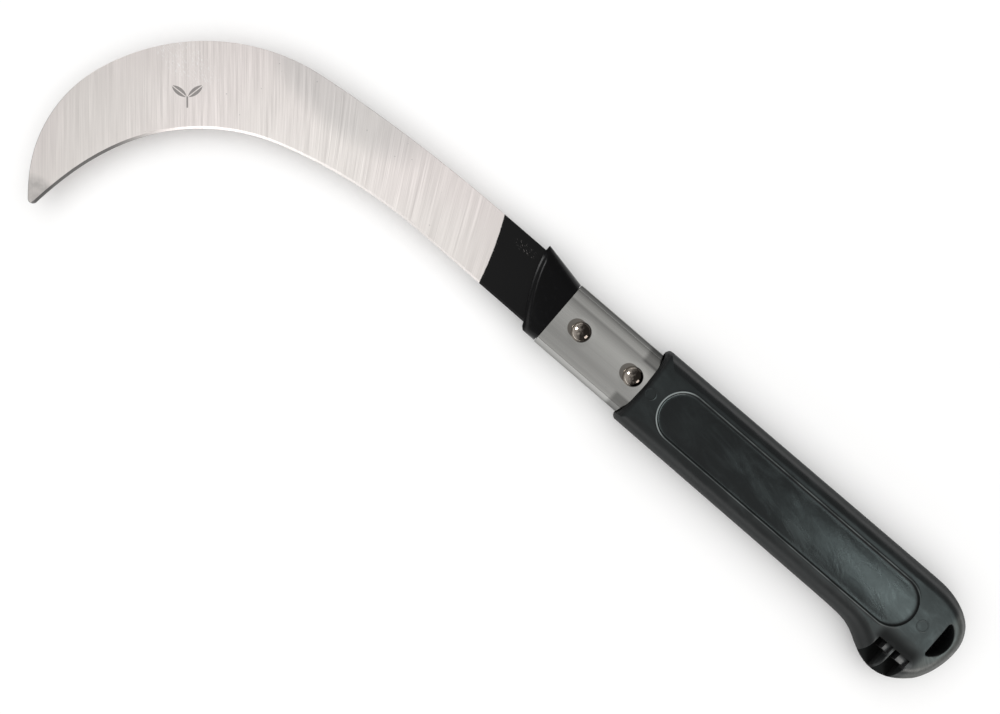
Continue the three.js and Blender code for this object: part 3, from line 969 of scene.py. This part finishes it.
def tube_look():
    look = Look("polished_tube")
    drawn = look.noise(look.stretch(0.0, (0.02, 3.0, 3.0)), 1.0, detail=4, roughness=0.65)
    haze = look.noise(look.stretch(0.0, (0.01, 0.25, 0.25), (3, 0, 0)), 1.0, detail=2)
    upright = look.size(look.facing()[2])
    # The tone is painted reflection: the bands across the tube and a rise toward the grip, broken up by the
    # drawing streaks; steep faces take a plain tone.
    tone = look.times(look.bands(look.y, TUBE_REFLECTION_BANDS), look.ramp(look.plus(drawn, haze), 0.7, 1.3, 0.95, 1.04),
                      look.ramp(look.x, 0.0, 42.0, 0.94, 1.08, soft=False))
    tone = look.blend(look.ramp(upright, 0.4, 0.25), tone, 0.45)
    # A painted reflection of the dark grip darkens the tube's rounded sides beside it.
    flank = look.ramp(look.size(look.plus(look.y, 1.0)), 7.6, 9.0)
    painted_grip_reflection = look.times(flank, look.ramp(look.plus(look.x, look.times(drawn, 2.0)), 39.4, 41.8))
    tone = look.times(tone, look.minus(1.0, look.times(painted_grip_reflection, 0.5)))
    pits = look.ramp(look.noise(look.place, 1.3, detail=1), 0.74, 0.8)
    steel = look.mix(look.times(pits, 0.25), look.colour(tone, tone, look.times(tone, 0.97)), grey(0.25))
    # A painted reflection of each rivet head darkens the flat beside it.
    painted_head_reflection = look.most(*(look.spot(x - 2.3, TUBE_Y + 0.1, 4.4, 4.3, 0.8) for x in RIVET_X))
    painted_head_reflection = look.times(painted_head_reflection, look.ramp(upright, 0.7, 0.9), 0.82)
    look.set(
        Base_Color=look.mix(painted_head_reflection, steel, (0.2, 0.175, 0.15, 1)),
        Metallic=1.0,
        Specular_Tint=grey(0.5),
        Roughness=look.ramp(haze, 0.3, 0.7, 0.1, 0.14),
        Normal=look.bump(drawn, 0.06, 0.01),
    )
    return look.material


def rivet_look():
    """Bright plating with a painted reflection: the side of the dome that faces -x is bright, the other side
    dark.
    """
    look = Look("bright_rivet")
    hammered = look.noise(look.place, 0.9, detail=2)
    fine = look.noise(look.place, 6.0, detail=3)
    nx, ny = look.facing()[:2]
    # Painted reflection: the dome is coloured bright where it faces -x and a little -y, dark elsewhere,
    # broken up by the hammered marks.
    turned = look.minus(look.times(ny, -0.35), look.times(nx, 0.8))
    turned = look.plus(turned, look.times(look.minus(hammered, 0.5), 0.9))
    look.set(
        Base_Color=look.mix(look.ramp(turned, -0.1, 0.45), (0.05, 0.042, 0.036, 1), (0.6, 0.54, 0.48, 1)),
        Metallic=1.0,
        Roughness=look.ramp(fine, 0.3, 0.7, 0.05, 0.1),
        Normal=look.bump(hammered, 0.3, 0.12),
    )
    return look.material


RING_MARKS, RING_R = ((50.7, -1.3), (197.6, -0.6)), 2.4


def from_point(look, x, y):
    """Millimetres from the upright line through (x, y)."""
    return look.length(look.minus(look.x, x), look.minus(look.y, y))


def ring_mark(look, x, y):
    """A faint round ejector mark: 1 on a thin circle."""
    return look.ramp(look.size(look.minus(from_point(look, x, y), RING_R)), 0.32, 0.08)


def panel_distance(look):
    """Millimetres from the panel's middle line, whose ends are the middles of its round ends."""
    half = (PANEL_X1 - PANEL_X0) / 2 - PANEL_R
    from_middle = look.size(look.minus(look.x, (PANEL_X0 + PANEL_X1) / 2))
    return look.length(look.most(look.minus(from_middle, half), 0.0), look.minus(look.y, PANEL_Y))


def bead_highlight(look):
    """How pale the bead round the panel is painted, as a painted highlight, most of all at its front end."""
    off_bead = look.size(look.minus(panel_distance(look), PANEL_R + 0.6))
    patchy = look.ramp(look.noise(look.place, 0.09, detail=3), 0.35, 0.6, 0.25, 0.8)
    patchy = look.most(patchy, look.ramp(look.x, 70.0, 62.0, 0.0, 2.2))
    return look.times(look.ramp(off_bead, 0.42, 0.12), patchy, 0.4, look.ramp(look.x, 186.0, 190.0, 1.0, 0.0))


def paler_butt(look, pebble, rubs):
    """How much paler the end past the hanging hole's straight side is coloured, in patches."""
    past_side = look.ramp(look.plus(look.x, look.times(pebble, 0.6)), HOLE_X - 0.6, HOLE_X + 2.6)
    past_hole = look.ramp(from_point(look, HOLE_CENTRE, HOLE_Y), HOLE_R + 0.1, HOLE_R + 0.6)
    return look.times(past_side, look.ramp(rubs, 0.3, 0.7, 0.4, 0.95), past_hole)


def painted_pocket_shade(look):
    """How much painted shade darkens the pockets, and their rims a little way round."""
    from_middle = look.size(look.minus(look.x, (POCKETS[0][0] + POCKETS[1][1]) / 2))
    deep = look.times(look.ramp(look.y, POCKET_TOP + 0.4, POCKET_TOP - 0.2),
                      look.ramp(look.size(look.z), 6.0, 4.5), look.ramp(from_middle, 8.3, 8.0))
    rim = look.times(look.ramp(look.y, POCKET_TOP + 8.0, POCKET_TOP + 1.5), look.ramp(from_middle, 12.0, 7.0),
                     look.ramp(look.y, POCKET_TOP - 2.0, POCKET_TOP))
    return look.most(deep, look.times(rim, 0.92))


def grip_satin(look, flow):
    """The grip's roughness: lower in the panel, and lower where the palm polishes the spine side."""
    cloud = look.noise(look.place, 0.045, detail=4, roughness=0.6)
    sheen = look.times(look.ramp(look.plus(flow, cloud), 0.75, 1.25, 0.2, 0.36),
                       look.ramp(look.x, 70.0, 150.0, 0.62, 1.0))
    inside = look.ramp(panel_distance(look), PANEL_R - 0.4, PANEL_R - 1.4)
    _, ny, nz = look.facing()
    satin = look.blend(inside, look.plus(sheen, 0.14), sheen)
    satin = look.times(satin, look.ramp(ny, 0.08, 0.35, 1.0, 0.75))
    return look.blend(look.ramp(look.size(nz), 0.75, 0.4), satin, 0.75)


def grip_look():
    look = Look("satin_black_moulding")
    pebble = look.noise(look.place, 2.6, detail=3, roughness=0.6)
    flow = look.noise(look.stretch(0.25, (0.05, 0.16, 0.16)), 1.0, detail=5, roughness=0.65, distortion=0.8)
    rubs = look.noise(look.stretch(0.7, (0.12, 1.4, 1), (2, 5, 0)), 1.0, detail=6, roughness=0.8)
    colour = look.mix(look.ramp(flow, 0.45, 0.75), (0.0038, 0.0056, 0.0062, 1), (0.0075, 0.0102, 0.011, 1))
    colour = look.mix(look.times(look.ramp(rubs, 0.68, 0.76), 0.2), colour, (0.045, 0.05, 0.052, 1))
    # Painted highlight along the bead round the panel.
    colour = look.mix(bead_highlight(look), colour, (0.36, 0.38, 0.38, 1))
    colour = look.mix(paler_butt(look, pebble, rubs), colour, (0.085, 0.085, 0.08, 1))
    # Painted highlight: the top of each pocket's ramp is coloured paler.
    for (_, x1), width in zip(POCKETS, RAMP_WIDTHS):
        ramp_top_highlight = look.spot(x1 - width / 2, POCKET_TOP - RAMP_L / 2, width, RAMP_L, 0.8)
        colour = look.mix(look.times(ramp_top_highlight, 0.6), colour, (0.06, 0.06, 0.062, 1))
    # Painted shade darkens the pockets and their rims, which are also made rougher.
    pocket_shade_mask = painted_pocket_shade(look)
    look.set(
        Base_Color=look.mix(pocket_shade_mask, colour, (0.0015, 0.0017, 0.0018, 1)),
        Roughness=look.blend(pocket_shade_mask, grip_satin(look, flow), 0.95),
        IOR=1.48,
    )
    marks = look.plus(*(ring_mark(look, x, y) for x, y in RING_MARKS))
    marked = look.bump(marks, 0.5, 0.1, look.bump(flow, 0.3, 0.3))
    look.set(Normal=look.bump(pebble, 0.16, 0.03, marked))
    return look.material


def floor_look():
    look = Look("pale_floor")
    look.set(Base_Color=grey(0.94), Roughness=0.95, IOR=1.1)
    return look.material


# ---------------------------------------------------------------- pieces
PIECES = (
    (make_blade(), ("blade",), "blade_steel", blade_look()),
    (make_collar(), ("nose_collar",), "collar_plastic", collar_look()),
    (make_tube(), ("handle_tube",), "tube_steel", tube_look()),
    (make_rivet("front_rivet_body", RIVET_X[0]), ("front_rivet",), "rivet_plated", rivet_look()),
    (make_rivet("rear_rivet_body", RIVET_X[1]), ("rear_rivet",), "rivet_plated", rivet_look()),
    (make_grip(), ("grip", "grip_end"), "grip_plastic", grip_look()),
)
for piece, nodes, slot, material in PIECES:
    piece.data.materials.clear()
    piece.data.materials.append(material)
    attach(piece, "root")
    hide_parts(*nodes)
    for node in nodes:
        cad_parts[node].data.materials.clear()
        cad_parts[node].data.materials.append(material)


# ---------------------------------------------------------------- floor and light
FLOOR_GAP, FLOOR_HALF = 0.05, 3.0
ROOM_COLOUR, ROOM_CUTTING_SIDE, ROOM_SPINE_SIDE = (1.0, 0.99, 0.975, 1), 0.46, 0.32
WHITE, COOL, WARM = (1, 1, 1), (0.8, 1.0, 1.0), (1.0, 0.98, 0.95)
BOX_AWAY = 2.0
# Each soft box: its lean toward +x and toward +y in degrees off the zenith, its width in metres, its
# radiance, its colour and what it lights.
LIGHTS = (
    ("blade_box", -12, -4, 0.9, 1.6, WHITE, ("blade",)),
    ("edge_box", 31, -67, 1.2, 2.5, WHITE, ("blade",)),
    ("grip_box", 32, 5, 0.55, 11.0, COOL, ("grip",)),
    ("butt_box", 54, -36, 0.8, 8.0, WARM, ("grip",)),
    ("spark_box", -56, -3, 0.6, 16.0, WHITE, ("front_rivet", "rear_rivet")),
    ("lip_box", -62, -12, 0.5, 12.0, WHITE, ("nose_collar",)),
    ("low_box", 66, -12, 0.9, 15.0, WHITE, ("front_rivet", "rear_rivet")),
    ("floor_box", 0, 0, 4.0, 1.3, WHITE, ("floor",)),
)


def make_floor():
    bm = bmesh.new()
    bmesh.ops.create_grid(bm, x_segments=8, y_segments=8, size=FLOOR_HALF)
    floor = new_object("floor", bm)
    floor.data.materials.append(floor_look())
    floor.location.z = -FLOOR_GAP * MM
    return floor


def make_world():
    """A dim room: a little lighter toward the cutting side, darker toward the spine side."""
    world = bpy.data.worlds.new("studio")
    bpy.context.scene.world = world
    world.use_nodes = True
    tree = world.node_tree
    coords = tree.nodes.new("ShaderNodeTexCoord")
    split = tree.nodes.new("ShaderNodeSeparateXYZ")
    tree.links.new(coords.outputs["Generated"], split.inputs[0])
    sides = tree.nodes.new("ShaderNodeMapRange")
    sides.interpolation_type = "SMOOTHSTEP"
    tree.links.new(split.outputs["Y"], sides.inputs["Value"])
    for key, number in (("From Min", -0.8), ("From Max", 0.8),
                        ("To Min", ROOM_CUTTING_SIDE), ("To Max", ROOM_SPINE_SIDE)):
        sides.inputs[key].default_value = number
    background = tree.nodes["Background"]
    background.inputs["Color"].default_value = ROOM_COLOUR
    tree.links.new(sides.outputs["Result"], background.inputs["Strength"])


def make_light(name, lean_x, lean_y, width, radiance, colour, lit):
    """A square soft box that shines on the lit objects only."""
    data = bpy.data.lights.new(name, "AREA")
    data.shape = "SQUARE"
    data.size = width
    data.energy = radiance * width * width * math.pi
    data.color = colour
    light = bpy.data.objects.new(name, data)
    aim = Vector((math.tan(math.radians(lean_x)), math.tan(math.radians(lean_y)), 1.0)).normalized()
    light.location = ORIGIN + aim * BOX_AWAY
    light.rotation_euler = aim.to_track_quat("Z", "Y").to_euler()
    light.visible_camera = False
    bpy.context.scene.collection.objects.link(light)
    receivers = bpy.data.collections.new(name + "_lights")
    for obj in lit:
        receivers.objects.link(obj)
    light.light_linking.receiver_collection = receivers


def make_lights(floor):
    shown = {node: piece for piece, nodes, _, _ in PIECES for node in nodes}
    shown["floor"] = floor
    for name, lean_x, lean_y, width, radiance, colour, lit in LIGHTS:
        make_light(name, lean_x, lean_y, width, radiance, colour, [shown[node] for node in lit])


make_world()
make_lights(make_floor())
